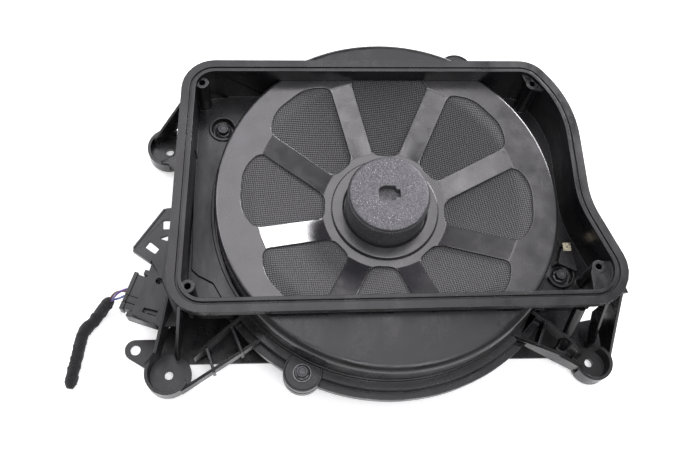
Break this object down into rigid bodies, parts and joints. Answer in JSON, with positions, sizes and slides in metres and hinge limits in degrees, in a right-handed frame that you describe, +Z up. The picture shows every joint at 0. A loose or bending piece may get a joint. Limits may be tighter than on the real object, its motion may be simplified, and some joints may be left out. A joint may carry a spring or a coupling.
{
  "type": "car subwoofer speaker",
  "caption": "Round car subwoofer in a rectangular plastic shroud with four feet, spoked steel frame, magnet cup, moving cone and a taped lead.",
  "frame": {"origin": "middle of the footprint, on the surface that the unit stands on, cone side down", "axes": "+Z up along the speaker's axis towards the magnet, +X along the shroud's long side, away from the connector"},
  "size_m": [0.4212, 0.3, 0.074],
  "materials": {
    "housing_plastic": "satin moulded",
    "connector_plastic": "satin",
    "coated_steel": "satin e-coat",
    "magnet_steel": "dull plated",
    "magnet": "plated",
    "former": "satin",
    "copper": "enamelled wire",
    "cone_paper": "pressed pulp",
    "rubber": "satin",
    "spider_cloth": "woven, resin dipped",
    "mesh_cloth": "open weave",
    "foam": "closed cell",
    "wire": "satin",
    "screw_steel": "dark zinc",
    "washer_steel": "bright zinc",
    "contact": "tinned",
    "cloth_tape": "woven tape"
  },
  "bodies": {
    "frame": {"main_housing": "housing_plastic", "clamping_ring": "housing_plastic", "base_plate": "housing_plastic", "basket": "coated_steel", "hub_ring": "coated_steel", "magnet_cup": "magnet_steel", "ring_magnet": "magnet", "pole_plate": "magnet_steel", "surround": "rubber", "spider": "spider_cloth", "spider_support": "housing_plastic", "mesh_cloth": "mesh_cloth", "frame_gasket": "foam", "cone_gasket": "foam", "terminal_block": "connector_plastic", "terminal_tab": "contact", "clamp_screws": "screw_steel", "clamp_washers": "washer_steel", "connector_bracket": "housing_plastic", "connector_socket": "connector_plastic", "socket_pins": "contact"},
    "cone_assembly": {"cone": "cone_paper", "dust_cap": "cone_paper", "voice_coil_former": "former", "voice_coil": "copper"},
    "plug": {"connector_plug": "connector_plastic", "plug_wires": "wire", "taped_harness": "cloth_tape"},
    "latch": {"plug_latch": "connector_plastic"}
  },
  "joints": [
    {"name": "cone_travel", "type": "slide", "parent": "frame", "child": "cone_assembly", "axis": [0, 0, 1], "range_m": [-0.006, 0.006], "stiffness_N_per_m": 3000, "deforming": ["surround", "spider"]},
    {"name": "plug_pull", "type": "slide", "parent": "frame", "child": "plug", "axis": [-0.9397, 0.342, 0], "range_m": [0, 0.012]},
    {"name": "latch_press", "type": "hinge", "parent": "plug", "child": "latch", "pos_m": [-0.1739, -0.0731, 0.0341], "axis": [0.342, 0.9397, 0], "range_deg": [-7, 0], "stiffness_Nm_per_rad": 0.05}
  ]
}
